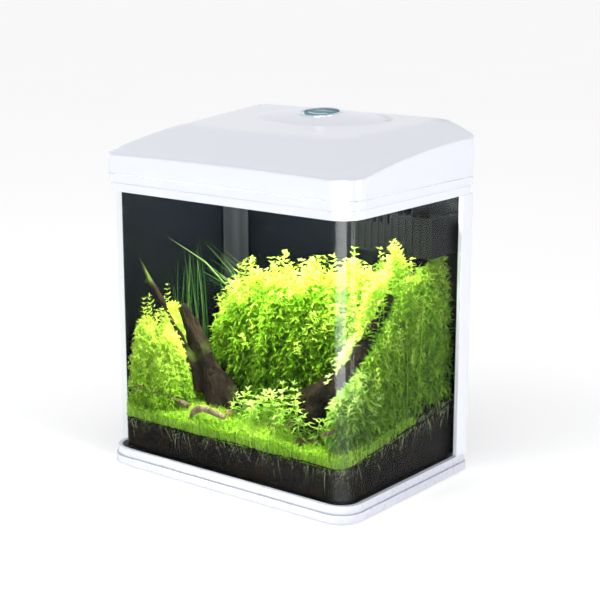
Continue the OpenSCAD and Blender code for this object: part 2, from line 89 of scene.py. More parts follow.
def area_light(name, azimuth, elevation, distance, size, power, colour=(1, 1, 1), only_gloss=False):
    """Rectangular soft light at an angle round the object, facing its middle."""
    data = bpy.data.lights.new(name, "AREA")
    data.shape = "RECTANGLE"
    data.size, data.size_y = size
    data.energy = power
    data.color = colour
    light = bpy.data.objects.new(name, data)
    bpy.context.scene.collection.objects.link(light)
    light.location = around(math.radians(azimuth), math.radians(elevation), distance, AIM)
    look_at(light, AIM)
    if only_gloss:
        light.visible_diffuse = False
        light.visible_transmission = False
    return light


def panel_light(name, azimuth, distance, width, power):
    """Upright light close to the bent corner, seen only as a reflection."""
    light = area_light(name, azimuth, 0, 1, (width, 0.32), power, only_gloss=True)
    corner = Vector((0.105, -0.069, 0.15))
    light.location = around(math.radians(azimuth), 0, distance, corner)
    look_at(light, corner)
    light.visible_camera = False


def make_stage():
    scene = bpy.context.scene
    scene.view_settings.view_transform = "Standard"
    scene.world = bpy.data.worlds.new("studio")
    scene.world.use_nodes = True
    tree = scene.world.node_tree
    background = tree.nodes["Background"]
    background.inputs["Strength"].default_value = 1.0
    height = tree.nodes.new("ShaderNodeSeparateXYZ")
    tree.links.new(tree.nodes.new("ShaderNodeTexCoord").outputs["Generated"], height.inputs[0])
    sky = tree.nodes.new("ShaderNodeValToRGB")
    tree.links.new(height.outputs["Z"], sky.inputs["Fac"])
    for stop, (position, level) in zip(sky.color_ramp.elements, ((0.12, 1.0), (0.95, 0.60))):
        stop.position = position
        stop.color = (level, level, level * 1.01, 1)
    tree.links.new(sky.outputs["Color"], background.inputs["Color"])
    bpy.ops.mesh.primitive_plane_add(size=60)
    floor = bpy.context.object
    floor.name = "floor"
    floor.data.materials.append(floor_material())
    area_light("key_light", -35, 45, 1.5, (0.7, 0.5), 3.6)
    area_light("side_light", 88, 18, 1.4, (0.5, 0.5), 2.4)
    panel_light("corner_panel", 30, 0.28, 0.34, 3.6)
    panel_light("corner_strip", 102, 0.28, 0.05, 0.6)
    lamp = area_light("hood_lamp", 0, 90, 0.09, (0.19, 0.12), 2.1, (1.0, 1.0, 0.93))
    lamp.location = (0, -0.004, 0.2285)
    lamp.rotation_euler = (0, 0, 0)
    lamp.visible_camera = False
    lamp.visible_glossy = False


# ---------------------------------------------------------------- materials

class Shader:
    """A material with one Principled shader, and short calls for the nodes that feed it."""

    def __init__(self, name, colour, roughness=0.5, **sockets):
        self.material = bpy.data.materials.new(name)
        self.material.use_nodes = True
        self.tree = self.material.node_tree
        self.bsdf = self.tree.nodes["Principled BSDF"]
        self.output = self.tree.nodes["Material Output"]
        self.bsdf.inputs["Base Color"].default_value = (*colour, 1)
        self.bsdf.inputs["Roughness"].default_value = roughness
        for socket, value in sockets.items():
            self.bsdf.inputs[socket.replace("_", " ")].default_value = value
        self.coords = self.tree.nodes.new("ShaderNodeTexCoord").outputs["Object"]

    def feed(self, socket, value):
        """Links a socket to another node's output, or gives it a fixed value."""
        if hasattr(value, "links"):
            self.tree.links.new(value, socket)
        else:
            socket.default_value = value

    def node(self, kind, **inputs):
        made = self.tree.nodes.new(kind)
        for key, value in inputs.items():
            self.feed(made.inputs[key.replace("_", " ")], value)
        return made

    def blend(self, amount, first, second):
        """Makes the surface a mix of two shaders."""
        mixed = self.node("ShaderNodeMixShader", Fac=amount)
        self.tree.links.new(first.outputs[0], mixed.inputs[1])
        self.tree.links.new(second.outputs[0], mixed.inputs[2])
        self.tree.links.new(mixed.outputs[0], self.output.inputs["Surface"])

    def stretched(self, scale):
        """Object coordinates with a different scale along each axis."""
        return self.node("ShaderNodeMapping", Vector=self.coords, Scale=scale).outputs["Vector"]

    def noise(self, scale, detail=4, vector=None, rough=0.55):
        return self.node("ShaderNodeTexNoise", Vector=vector or self.coords, Scale=scale,
                         Detail=detail, Roughness=rough).outputs["Fac"]

    def cells(self, scale, vector=None):
        made = self.node("ShaderNodeTexVoronoi", Vector=vector or self.coords, Scale=scale)
        return made.outputs["Distance"]

    def ramp(self, value, stops):
        """Colour ramp: stops are (position, (r, g, b))."""
        made = self.tree.nodes.new("ShaderNodeValToRGB")
        self.tree.links.new(value, made.inputs["Fac"])
        ends = made.color_ramp.elements
        for i, (position, colour) in enumerate(stops):
            stop = ends[i] if i < 2 else ends.new(position)
            stop.position = position
            stop.color = (*colour, 1)
        return made.outputs["Color"]

    def span(self, value, low, high, from_low=0.3, from_high=0.7):
        """Maps a noise value to the span from low to high."""
        made = self.tree.nodes.new("ShaderNodeMapRange")
        self.tree.links.new(value, made.inputs["Value"])
        for key, number in zip(("From Min", "From Max", "To Min", "To Max"),
                               (from_low, from_high, low, high)):
            made.inputs[key].default_value = number
        return made.outputs["Result"]

    def mix(self, factor, a, b, kind="MIX"):
        made = self.tree.nodes.new("ShaderNodeMix")
        made.data_type = "RGBA"
        made.blend_type = kind
        for key, value in (("Factor", factor), ("A", a), ("B", b)):
            self.feed(made.inputs[key], (*value, 1) if isinstance(value, tuple) else value)
        return made.outputs["Result"]

    def maths(self, operation, a, b):
        made = self.tree.nodes.new("ShaderNodeMath")
        made.operation = operation
        for socket, value in zip(made.inputs, (a, b)):
            self.feed(socket, value)
        return made.outputs[0]

    def attribute(self, name):
        made = self.tree.nodes.new("ShaderNodeAttribute")
        made.attribute_name = name
        return made.outputs["Fac"]

    def colour(self, value):
        self.tree.links.new(value, self.bsdf.inputs["Base Color"])
        return self

    def rough(self, value):
        self.tree.links.new(value, self.bsdf.inputs["Roughness"])
        return self

    def bump(self, height, strength=0.3, distance=0.001):
        made = self.node("ShaderNodeBump", Height=height, Strength=strength, Distance=distance)
        self.tree.links.new(made.outputs["Normal"], self.bsdf.inputs["Normal"])
        return self


def floor_material():
    s = Shader("floor_paper", (0.93, 0.93, 0.93), 0.9, Emission_Color=(1, 1, 1, 1), Emission_Strength=0.24)
    s.colour(s.ramp(s.noise(3), [(0.3, (0.925, 0.925, 0.93)), (0.7, (0.94, 0.94, 0.94))]))
    return s.material


def moulded(name, colour, roughness, grain=900.0, depth=0.08, coat=0.0, shine=0.5):
    """Moulded plastic: faint flow marks in the colour, uneven gloss and a fine skin."""
    s = Shader(name, colour, roughness, Coat_Weight=coat, Coat_Roughness=0.08, Specular_IOR_Level=shine)
    dark = tuple(c * 0.985 for c in colour)
    s.colour(s.ramp(s.noise(9, 2), [(0.35, dark), (0.65, colour)]))
    s.rough(s.span(s.noise(200, 4), roughness * 0.94, roughness * 1.08))
    s.bump(s.noise(grain, 3), depth, 0.0002)
    return s.material


def glass_material():
    """Thin clear glass: what lies behind shows through it, and it mirrors at a slant."""
    s = Shader("clear_glass", (0.9, 1.0, 0.98))
    clear = s.node("ShaderNodeBsdfTransparent", Color=(0.968, 0.985, 0.985, 1))
    gloss = s.node("ShaderNodeBsdfGlossy", Color=(1, 1, 1, 1), Roughness=0.03)
    slant = s.node("ShaderNodeLayerWeight", Blend=0.5).outputs["Facing"]
    steep = s.maths("POWER", slant, 5.0)
    normal = s.tree.nodes.new("ShaderNodeSeparateXYZ")
    s.tree.links.new(s.coords.node.outputs["Normal"], normal.inputs[0])
    bend = s.maths("ABSOLUTE", s.maths("MULTIPLY", normal.outputs["X"], normal.outputs["Y"]), 0.0)
    smudge = s.span(s.noise(18, 5), 0.0008, 0.0016)
    bent = s.maths("ADD", smudge, s.maths("MULTIPLY", bend, 0.024))
    amount = s.maths("ADD", s.maths("MULTIPLY", steep, 0.3), bent)
    s.blend(amount, clear, gloss)
    s.tree.nodes.remove(s.bsdf)
    return s.material


def leaf_material(name, dark, mid, light, glow=0.35):
    """Living leaf: tint runs from the shaded stem foot to the bright tip, and light shines through."""
    s = Shader(name, mid, 0.42, Specular_IOR_Level=0.15)
    tint = s.attribute("tint")
    green = s.ramp(tint, [(0.0, dark), (1.0, light), (0.5, mid)])
    spotted = s.mix(s.span(s.noise(260, 3), 0.0, 0.35), green, tuple(c * 0.6 for c in mid))
    s.colour(spotted)
    s.rough(s.span(s.noise(300), 0.3, 0.55))
    s.bump(s.noise(1500, 2), 0.2, 0.0002)
    s.blend(glow, s.bsdf, s.node("ShaderNodeBsdfTranslucent", Color=spotted))
    return s.material


def soil_material():
    s = Shader("planting_soil", (0.02, 0.014, 0.01), 0.9, Specular_IOR_Level=0.04)
    grains = s.cells(420)
    patches = s.noise(55, 6)
    s.colour(s.mix(s.span(grains, 0.0, 0.75, 0.0, 0.6),
                   s.ramp(patches, [(0.3, (0.016, 0.008, 0.005)), (0.5, (0.003, 0.0026, 0.002)),
                                    (0.8, (0.045, 0.022, 0.010))]),
                   (0.002, 0.0015, 0.0015)))
    s.rough(s.span(patches, 0.55, 0.95))
    s.bump(grains, 0.8, 0.0012)
    return s.material


def wood_material(name, dark, light, tilt=0.0):
    """Water-soaked wood, its grain running along an axis tilted from upright by tilt degrees."""
    s = Shader(name, dark, 0.7, Specular_IOR_Level=0.06)
    turned = s.node("ShaderNodeMapping", Vector=s.coords, Rotation=(0, math.radians(tilt), 0))
    along = s.node("ShaderNodeMapping", Vector=turned.outputs["Vector"], Scale=(4.0, 4.0, 0.6))
    grain = s.noise(48, 8, along.outputs["Vector"], 0.7)
    moss = s.noise(30, 5)
    between = tuple((a + b) / 2.4 for a, b in zip(dark, light))
    wood = s.ramp(grain, [(0.32, dark), (0.68, light), (0.5, between)])
    s.colour(s.mix(s.span(moss, 0.0, 0.8, 0.6, 0.72), wood, (0.10, 0.15, 0.02)))
    s.rough(s.span(grain, 0.4, 0.85))
    s.bump(s.noise(110, 8, along.outputs["Vector"], 0.75), 1.0, 0.0025)
    return s.material


def stone_material():
    s = Shader("brown_stone", (0.2, 0.13, 0.08), 0.8, Specular_IOR_Level=0.06)
    s.colour(s.ramp(s.noise(90, 8), [(0.3, (0.05, 0.03, 0.018)), (0.55, (0.22, 0.13, 0.06)),
                                     (0.75, (0.42, 0.3, 0.17))]))
    s.bump(s.noise(260, 8), 0.8, 0.001)
    return s.material


def badge_material(centre):
    """Gloss teal disc with a plain pale wave across it."""
    s = Shader("badge_teal", (0.06, 0.19, 0.25), 0.45, Specular_IOR_Level=0.25)
    place = s.node("ShaderNodeMapping", Vector=s.coords, Location=tuple(-c for c in centre))
    wave = s.node("ShaderNodeTexWave", Vector=place.outputs["Vector"], Scale=42, Distortion=5, Detail=0,
                  Detail_Scale=1.6)
    wave.wave_type = "BANDS"
    wave.bands_direction = "Y"
    away = s.tree.nodes.new("ShaderNodeVectorMath")
    away.operation = "LENGTH"
    s.tree.links.new(place.outputs["Vector"], away.inputs[0])
    inside = s.span(away.outputs["Value"], 1.0, 0.0, 0.0085, 0.0105)
    line = s.span(wave.outputs["Fac"], 0.0, 1.0, 0.8, 0.93)
    both = s.maths("MULTIPLY", inside, line)
    face = s.ramp(s.span(away.outputs["Value"], 0.0, 1.0, 0.0, 0.0146),
                  [(0.0, (0.13, 0.27, 0.33)), (1.0, (0.02, 0.06, 0.09)), (0.82, (0.07, 0.2, 0.26))])
    s.colour(s.mix(both, face, (0.55, 0.72, 0.8)))
    s.bump(s.noise(700, 2), 0.06, 0.0002)
    return s.material


def metal(name, colour, roughness):
    s = Shader(name, colour, roughness, Metallic=1.0)
    s.rough(s.span(s.noise(400, 3, s.stretched((1, 12, 1))), roughness * 0.7, roughness * 1.5))
    s.bump(s.noise(900, 2, s.stretched((1, 14, 1))), 0.1, 0.0002)
    return s.material


def foam(name, dark, light, scale):
    s = Shader(name, light, 0.95)
    pores = s.cells(scale)
    # Pits are drawn darker than the foam round them: painted shade in the pores.
    s.colour(s.ramp(pores, [(0.05, dark), (0.45, light)]))
    s.bump(pores, 0.9, 0.001)
    return s.material


# Colours of the wet wood, and how far each trunk's grain leans from upright in degrees
WOOD_DARK = (0.003, 0.0022, 0.0018)
WOOD_LIGHT = (0.05, 0.034, 0.020)
LEFT_LEAN = 28
RIGHT_LEAN = -32


def make_materials():
    ring_low, ring_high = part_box("badge_plate")
    centre = tuple((ring_low + ring_high) / 2)
    return {
        "white_plastic": moulded("white_plastic", (0.80, 0.815, 0.89), 0.24, depth=0.02, coat=0.2),
        # The base tray's plastic is a darker, greyer copy of the white plastic: painted shade.
        "base_plastic_shaded": moulded("base_plastic_shaded", (0.64, 0.645, 0.73), 0.28, depth=0.02, coat=0.15),
        "corner_grey": moulded("corner_grey", (0.012, 0.013, 0.016), 0.6, shine=0.1),
        "black_plastic": moulded("black_plastic", (0.0045, 0.005, 0.006), 0.5, shine=0.12),
        "rubber_pad": moulded("rubber_pad", (0.05, 0.05, 0.05), 0.8, 500, 0.3),
        "foam_pad": foam("foam_pad", (0.01, 0.01, 0.01), (0.06, 0.06, 0.065), 900),
        "tank_glass": glass_material(),
        "backing_film": moulded("backing_film", (0.0026, 0.0032, 0.0052), 0.8, shine=0.05),
        "silicone": moulded("silicone", (0.55, 0.6, 0.6), 0.3),
        "steel": metal("steel", (0.7, 0.7, 0.72), 0.3),
        "ceramic": foam("ceramic", (0.55, 0.48, 0.38), (0.85, 0.8, 0.7), 1500),
        "sponge": foam("sponge", (0.005, 0.02, 0.05), (0.03, 0.13, 0.28), 700),
        "floss": foam("floss", (0.6, 0.6, 0.6), (0.9, 0.9, 0.9), 1200),
        "soil": soil_material(),
        "driftwood": wood_material("driftwood", WOOD_DARK, WOOD_LIGHT, LEFT_LEAN),
        "driftwood_lean": wood_material("driftwood_lean", WOOD_DARK, WOOD_LIGHT, RIGHT_LEAN),
        "pale_twig": wood_material("pale_twig", (0.05, 0.03, 0.015), (0.45, 0.34, 0.2)),
        "stone": stone_material(),
        "leaf": leaf_material("leaf", (0.03, 0.13, 0.006), (0.34, 0.64, 0.02), (0.82, 0.97, 0.17), 0.45),
        "leaf_pale": leaf_material("leaf_pale", (0.06, 0.18, 0.02), (0.42, 0.7, 0.08),
                                   (0.85, 0.98, 0.36), 0.4),
        "reed": leaf_material("reed", (0.01, 0.045, 0.006), (0.06, 0.16, 0.03), (0.3, 0.42, 0.12), 0.25),
        "root": leaf_material("root", (0.05, 0.07, 0.02), (0.22, 0.27, 0.10), (0.60, 0.68, 0.34), 0.2),
        "badge_teal": badge_material(centre),
        "badge_chrome": metal("badge_chrome", (0.75, 0.86, 0.95), 0.12),
        "circuit": moulded("circuit", (0.02, 0.22, 0.08), 0.35),
        "led": moulded("led", (0.9, 0.85, 0.5), 0.3),
        "diffuser": moulded("diffuser", (0.9, 0.9, 0.93), 0.3),
        "wire": moulded("wire", (0.45, 0.02, 0.02), 0.4),
        "clear_cup": moulded("clear_cup", (0.3, 0.36, 0.38), 0.3),
    }


# ---------------------------------------------------------------- mesh helpers

def new_piece(name, verts, faces, body, material, smooth=True):
    """A mesh object from arrays, riding on a body, with its material."""
    mesh = bpy.data.meshes.new(name)
    verts = np.asarray(verts, np.float32)
    if isinstance(faces, np.ndarray):
        count, sides = faces.shape
        mesh.vertices.add(len(verts))
        mesh.vertices.foreach_set("co", verts.ravel())
        mesh.loops.add(count * sides)
        mesh.loops.foreach_set("vertex_index", faces.astype(np.int32).ravel())
        mesh.polygons.add(count)
        mesh.polygons.foreach_set("loop_start", np.arange(0, count * sides, sides, dtype=np.int32))
        mesh.update(calc_edges=True)
    else:
        mesh.from_pydata(verts.tolist(), [], faces)
    mesh.validate()
    mesh.polygons.foreach_set("use_smooth", [smooth] * len(mesh.polygons))
    piece = bpy.data.objects.new(name, mesh)
    bpy.context.scene.collection.objects.link(piece)
    mesh.materials.append(material)
    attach(piece, body)
    return piece


def shade_smooth(piece):
    piece.data.polygons.foreach_set("use_smooth", [True] * len(piece.data.polygons))


def apply_modifiers(piece):
    """Bakes a piece's modifiers into its mesh."""
    evaluated = piece.evaluated_get(bpy.context.evaluated_depsgraph_get())
    mesh = bpy.data.meshes.new_from_object(evaluated)
    piece.modifiers.clear()
    old = piece.data
    piece.data = mesh
    bpy.data.meshes.remove(old)


def add_tint(piece, values):
    attribute = piece.data.attributes.new("tint", "FLOAT", "POINT")
    attribute.data.foreach_set("value", np.asarray(values, np.float32))


def outline(width, depth, front_r, rear_r, arc=16, along=24):
    """Points round a rounded rectangle, counter-clockwise from its rear right, in metres."""
    x, y = width / 2, depth / 2
    corners = [(x - rear_r, y - rear_r, rear_r, 0), (-x + rear_r, y - rear_r, rear_r, 90),
               (-x + front_r, -y + front_r, front_r, 180), (x - front_r, -y + front_r, front_r, 270)]
    points = []
    for i, (cx, cy, r, start) in enumerate(corners):
        for a in np.linspace(math.radians(start), math.radians(start + 90), arc):
            points.append((cx + r * math.cos(a), cy + r * math.sin(a)))
        nx, ny, nr, next_start = corners[(i + 1) % 4]
        last = np.array(points[-1])
        turn = math.radians(next_start)
        ahead = np.array((nx + nr * math.cos(turn), ny + nr * math.sin(turn)))
        for t in np.linspace(0, 1, along + 2)[1:-1]:
            points.append(tuple(last + (ahead - last) * t))
    return np.array(points)


def ring_faces(rows, count):
    """Quads between rows of points that each go once round."""
    r, c = np.meshgrid(np.arange(rows - 1), np.arange(count), indexing="ij")
    a = r * count + c
    b = r * count + (c + 1) % count
    return np.stack([a, b, b + count, a + count], -1).reshape(-1, 4)


# ---------------------------------------------------------------- hood

HOOD = {"width": 0.230, "depth": 0.158, "front_r": 0.0195, "rear_r": 0.008, "wall": 0.0022}
BOSS = {"y": 0.043, "a": 0.056, "b": 0.034, "h": 0.0040}
EDGE_ROUND = 0.0012
# Roof over the rear wall: height at the front edge, rise towards the rear, and where the rise ends
ARCH_FOOT, ARCH_RISE, ARCH_END, ARCH_LENGTH = 0.2388, 0.0141, 0.072, 0.1366
# Side facet: half the hood's width at its lower edge, and the place that its upper edge is measured from
FACET_FOOT_X = 0.1148
SHOULDER_FRONT = 0.029
# Rounding of the roof's joins with the front slope and with the side facets
FRONT_JOIN, FACET_JOIN = 0.0035, 0.0024
# Cuts in the rear wall: room round a fitted part, overshoot past a face, half width of a hinge notch
FIT, PAST, NOTCH_HALF = 0.0002, 0.001, 0.0072


def soft_min(a, b, radius):
    """Smaller of two heights, with a rounded join."""
    h = np.clip(0.5 + 0.5 * (b - a) / radius, 0, 1)
    return b * (1 - h) + a * h - radius * h * (1 - h)


def roof_height(x, y):
    """Height of the hood's top surface over a point, in metres."""
    across = np.abs(x)
    front = 0.2398 - 0.0014 * (across / 0.1) ** 2 + 0.425 * (y + 0.079)
    plateau = 0.2577 + 0.0515 * (y + 0.037)
    arch = ARCH_FOOT + ARCH_RISE * (1 - (np.maximum(ARCH_END - y, 0) / ARCH_LENGTH) ** 1.9)
    shoulder_x = 0.079 + 0.103 * (y + SHOULDER_FRONT)
    shoulder_z = 0.2572 + 0.0562 * (y + SHOULDER_FRONT)
    facet = arch + (FACET_FOOT_X - across) * (shoulder_z - arch) / (FACET_FOOT_X - shoulder_x)
    roof = soft_min(soft_min(plateau, front, FRONT_JOIN), facet, FACET_JOIN)
    d = (x / BOSS["a"]) ** 2 + ((y - BOSS["y"]) / BOSS["b"]) ** 2
    rise = BOSS["h"] * np.clip(1 - d, 0, 1) ** 0.75
    return roof + rise


def hood_rows(inset, bottom, top_drop, rings):
    """Rows of points from the wall's foot up and in to the middle of the roof."""
    base = outline(HOOD["width"] - 2 * inset, HOOD["depth"] - 2 * inset,
                   HOOD["front_r"] - inset, HOOD["rear_r"] - inset)
    rows = []
    edge = roof_height(base[:, 0], base[:, 1]) - top_drop
    for t in (0, 0.02, 0.2, 0.4, 0.6, 0.8, 0.92):
        z = bottom + (edge - EDGE_ROUND - bottom) * t
        rows.append(np.column_stack([base, z]))
    centre = np.array((0.0, 0.01))
    size = np.linalg.norm(base - centre, axis=1)
    for a in np.linspace(0, math.pi / 2, 5):
        pull = EDGE_ROUND * (1 - math.cos(a))
        flat = centre + (base - centre) * ((size - pull) / size)[:, None]
        z = edge - EDGE_ROUND + EDGE_ROUND * math.sin(a)
        rows.append(np.column_stack([flat, z]))
    start = rows[-1][:, :2]
    for t in np.linspace(0, 1, rings)[1:-1]:
        flat = start + (centre - start) * t
        ease = min(1.0, t * 14)
        z = roof_height(flat[:, 0], flat[:, 1]) - top_drop
        z = z * ease + rows[-1][:, 2] * (1 - ease) if ease < 1 else z
        rows.append(np.column_stack([flat, z]))
    return rows


def closed_shell(outer, inner):
    """Vertices and faces of a shell with an outer and an inner skin, both ending in a point."""
    count = len(outer[0])
    rows = list(reversed(outer)) + inner
    verts = np.concatenate(rows)
    faces = ring_faces(len(rows), count)[:, ::-1].tolist()
    for row, last in ((0, False), (len(rows) - 1, True)):
        tip = len(verts)
        verts = np.vstack([verts, verts[row * count:(row + 1) * count].mean(0)])
        for c in range(count):
            a, b = row * count + c, row * count + (c + 1) % count
            faces.append([a, tip, b] if not last else [b, tip, a])
    return verts, faces


def cut(piece, boxes):
    """Cuts boxes (lowest, highest corner) out of a closed piece."""
    for low, high in boxes:
        low, high = np.array(low), np.array(high)
        corners = [(x, y, z) for x in (low[0], high[0])
                   for y in (low[1], high[1]) for z in (low[2], high[2])]
        sides = [(0, 1, 3, 2), (4, 6, 7, 5), (0, 4, 5, 1), (2, 3, 7, 6), (0, 2, 6, 4), (1, 5, 7, 3)]
        mesh = bpy.data.meshes.new("cutter")
        mesh.from_pydata(corners, [], sides)
        cutter = bpy.data.objects.new("cutter", mesh)
        bpy.context.scene.collection.objects.link(cutter)
        modifier = piece.modifiers.new("cut", "BOOLEAN")
        modifier.object = cutter
        modifier.operation = "DIFFERENCE"
        modifier.solver = "EXACT"
        apply_modifiers(piece)
        bpy.data.objects.remove(cutter)


def make_hood(materials):
    low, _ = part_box("hood_shell")
    bottom = low.z
    outer = hood_rows(0, bottom, 0, 70)
    inner = hood_rows(HOOD["wall"], bottom, HOOD["wall"], 24)
    verts, faces = closed_shell(outer, inner)
    hood = new_piece("hood_cover", verts, faces, "lid", materials["white_plastic"])
    back = HOOD["depth"] / 2
    boxes = [((-0.13, back - 0.0037, bottom - PAST), (0.13, back + PAST, bottom + 0.0026))]
    for name in ("power_socket", "switch_body"):
        a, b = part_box(name)
        boxes.append(((a.x - FIT, back - 0.004, a.z - FIT), (b.x + FIT, back + PAST, b.z + FIT)))
    knuckle_low, knuckle_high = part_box("hinge_knuckles")
    hinge_x = (knuckle_high.x - knuckle_low.x) / 2 - 0.010
    for side in (-1, 1):
        x = side * hinge_x
        boxes.append(((x - NOTCH_HALF, back - 0.0035, bottom - PAST),
                      (x + NOTCH_HALF, back + PAST, bottom + 0.0145)))
    cut(hood, boxes)
    shade_smooth(hood)
    hood.data.set_sharp_from_angle(angle=math.radians(35))
    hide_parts("hood_shell")


# ---------------------------------------------------------------- ribbons: leaves, blades, roots

def ribbons(name, paths, widths, sides, tints, body, material, replaces=()):
    """Thin strips. paths is (n, k, 3), widths (n, k), sides (n, 3), tints (n, k)."""
    n, k, _ = paths.shape
    half = sides[:, None, :] * widths[:, :, None] * 0.5
    verts = np.stack([paths - half, paths + half], 2).reshape(-1, 3)
    first = (np.arange(n) * k * 2)[:, None] + (np.arange(k - 1) * 2)[None, :]
    faces = np.stack([first, first + 1, first + 3, first + 2], -1).reshape(-1, 4)
    piece = new_piece(name, verts, faces, body, material)
    add_tint(piece, np.repeat(tints.reshape(-1), 2))
    if replaces:
        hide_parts(*replaces)


def unit(v):
    return v / np.maximum(np.linalg.norm(v, axis=-1, keepdims=True), 1e-9)


def leaves(at, out, length, width, tint, droop=0.25):
    """Leaf strips of three stations from points at, pointing along out."""
    n = len(at)
    out = unit(out)
    side = unit(np.cross(out, np.array((0, 0, 1.0)) + rng.normal(0, 0.25, (n, 3))))
    up = np.cross(side, out)
    length = length[:, None]
    mid = at + out * length * 0.5 + up * length * 0.10
    tip = at + out * length * 0.97 - up * length * droop * rng.uniform(-0.3, 1.0, (n, 1))
    paths = np.stack([at, mid, tip], 1)
    widths = np.stack([width * 0.4, width, width * 0.06], 1)
    # Each leaf is painted darker at its foot and lighter at its tip: painted shade and light.
    tints = np.stack([tint - 0.12, tint, tint + 0.1], 1)
    return paths, widths, side, np.clip(tints, 0, 1)


SOIL_FRONT = 0.037
SOIL_REAR = 0.055


def soil_z(y):
    """Height of the soil surface at a distance y towards the rear."""
    low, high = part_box("soil_bed")
    return SOIL_FRONT + (SOIL_REAR - SOIL_FRONT) * (y - low.y) / (high.y - low.y)


def stem_sites(clumps, spacing):
    """Jittered points inside elliptical clumps (x, y, rx, ry, top), with the stem height at each."""
    found = []
    for x, y, rx, ry, top in clumps:
        across = np.arange(-rx, rx, spacing)
        deep = np.arange(-ry, ry, spacing)
        gx, gy = np.meshgrid(across, deep)
        gx = gx + rng.uniform(-0.5, 0.5, gx.shape) * spacing
        gy = gy + rng.uniform(-0.5, 0.5, gy.shape) * spacing
        d = (gx / rx) ** 2 + (gy / ry) ** 2
        keep = d < 1
        px, py, pd = gx[keep] + x, gy[keep] + y, d[keep]
        foot = soil_z(py)
        height = (top - foot) * (1 - 0.38 * pd) * rng.uniform(0.86, 1.06, px.shape)
        found.append(np.column_stack([px, py, foot, height, (px - x) / rx, (py - y) / ry]))
    return np.concatenate(found)


def keep_inside(points):
    """Keeps planting between the panes."""
    low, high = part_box("bottom_glass")
    margin = 0.0006
    points[..., 0] = np.clip(points[..., 0], low.x + margin, high.x - margin)
    points[..., 1] = np.clip(points[..., 1], low.y + margin, high.y - margin)
    bend = 0.0118
    cx, cy = high.x - bend, low.y + bend
    for side in (-1, 1):
        dx = points[..., 0] * side - cx
        dy = cy - points[..., 1]
        r = np.hypot(dx, dy)
        over = (dx > 0) & (dy > 0) & (r > bend - margin)
        shrink = np.where(over, (bend - margin) / np.maximum(r, 1e-9), 1.0)
        points[..., 0] = np.where(over, side * (cx + dx * shrink), points[..., 0])
        points[..., 1] = np.where(over, cy - dy * shrink, points[..., 1])
    return points


def stem_line(x, y, foot, height, sway, bend, t):
    """Points along a leaning, bending stem, with t from 0 at its foot to 1 at its tip."""
    return np.column_stack([x + height * (sway[0] * t + bend[0] * t * t),
                            y + height * (sway[1] * t + bend[1] * t * t), foot + height * t])


def stem_bush(name, clumps, material, spacing, step, length, width, bare, lean, per_node=4):
    """Bush of stems with whorls of small pointed leaves, painted brightest at the tips and the clump's
    outside as light, and darker low down as shade.
    """
    sites = stem_sites(clumps, spacing)
    at, out, tint, size = [], [], [], []
    stems, stem_w, stem_side, stem_tint = [], [], [], []
    for x, y, foot, height, ox, oy in sites:
        sway = rng.normal(0, 0.05, 2) + np.array((ox, oy)) * lean * 0.35
        bend = rng.normal(0, 0.1, 2)
        count = max(int(height * (1 - bare) / step), 3)
        t = bare + (1 - bare) * (np.arange(count) + rng.uniform(0, 1)) / count
        line = stem_line(x, y, foot, height, sway, bend, t)
        ts = np.linspace(0, 1, 5)
        stems.append(stem_line(x, y, foot, height, sway, bend, ts))
        stem_w.append(np.full(5, 0.0007))
        stem_side.append(unit(rng.normal(0, 1, 3) * (1, 1, 0.1)))
        # Stems are painted darker at the foot as shade and lighter towards the tip as light.
        stem_tint.append(0.1 + 0.5 * ts)
        turn = rng.uniform(0, 6.28) + np.arange(count) * 0.8
        outer = min(1.0, math.hypot(ox, oy))
        for i in range(per_node):
            angle = turn + i * 2 * math.pi / per_node + rng.normal(0, 0.25, count)
            rise = 0.15 + 0.8 * t ** 9 + rng.normal(0, 0.22, count)
            at.append(line)
            out.append(np.column_stack([np.cos(angle), np.sin(angle), rise]))
            size.append(length * (1 - 0.45 * t ** 8) * rng.uniform(0.75, 1.2, count))
            # Leaf tint: painted light towards the stem tip and the clump's outside, painted shade low down,
            # with random noise.
            glow = 0.05 + 0.72 * t ** 2.2 + 0.12 * outer + rng.normal(0, 0.14, count)
            tint.append(np.clip(glow, 0.02, 0.95))
    at, out = np.concatenate(at), np.concatenate(out)
    size, tint = np.concatenate(size), np.concatenate(tint)
    paths, widths, side, tints = leaves(at, out, size, size * width / length, tint)
    paths = keep_inside(paths)
    ribbons(name, paths, widths, side, tints, "tank", material)
    stems = keep_inside(np.array(stems))
    stem_w, stem_side, stem_tint = (np.array(v) for v in (stem_w, stem_side, stem_tint))
    ribbons(name + "_stems", stems, stem_w, stem_side, stem_tint, "tank", material)


def arcs(feet, tips, rise, stations, spread=0.0):
    """Curved paths from feet to tips that leave the foot upwards."""
    t = np.linspace(0, 1, stations)[None, :, None]
    middle = feet * 0.6 + tips * 0.4
    middle = middle + rise
    if spread:
        middle = middle + rng.normal(0, spread, middle.shape)
    return (1 - t) ** 2 * feet[:, None] + 2 * t * (1 - t) * middle[:, None] + t ** 2 * tips[:, None]


def blades(name, feet, tips, width, tint, material, stations=5, rise=(0, 0, 0), spread=0.0,
           replaces=()):
    """Curved blades from feet to tips, tapering to a point."""
    n = len(feet)
    paths = keep_inside(arcs(feet, tips, np.array(rise), stations, spread))
    profile = np.array([0.7, 1.0, 0.9, 0.6, 0.08]) if stations == 5 else np.linspace(1, 0.1, stations)
    widths = width[:, None] * profile[None, :]
    side = unit(rng.normal(0, 1, (n, 3)) * (1, 1, 0.15))
    ramp = np.linspace(-0.15, 0.15, stations)[None, :]
    tints = np.clip(tint[:, None] + ramp, 0, 1)
    ribbons(name, paths, widths, side, tints, "tank", material, replaces)


def off_the_glass(x, y):
    """Moves points that fall at or past a pane back inside by an uneven amount."""
    low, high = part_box("bottom_glass")
    room = rng.uniform(0.003, 0.014, len(x))
    x = np.clip(x, low.x + room, high.x - room)
    y = np.clip(y, low.y + room, high.y - room)
    return x, y


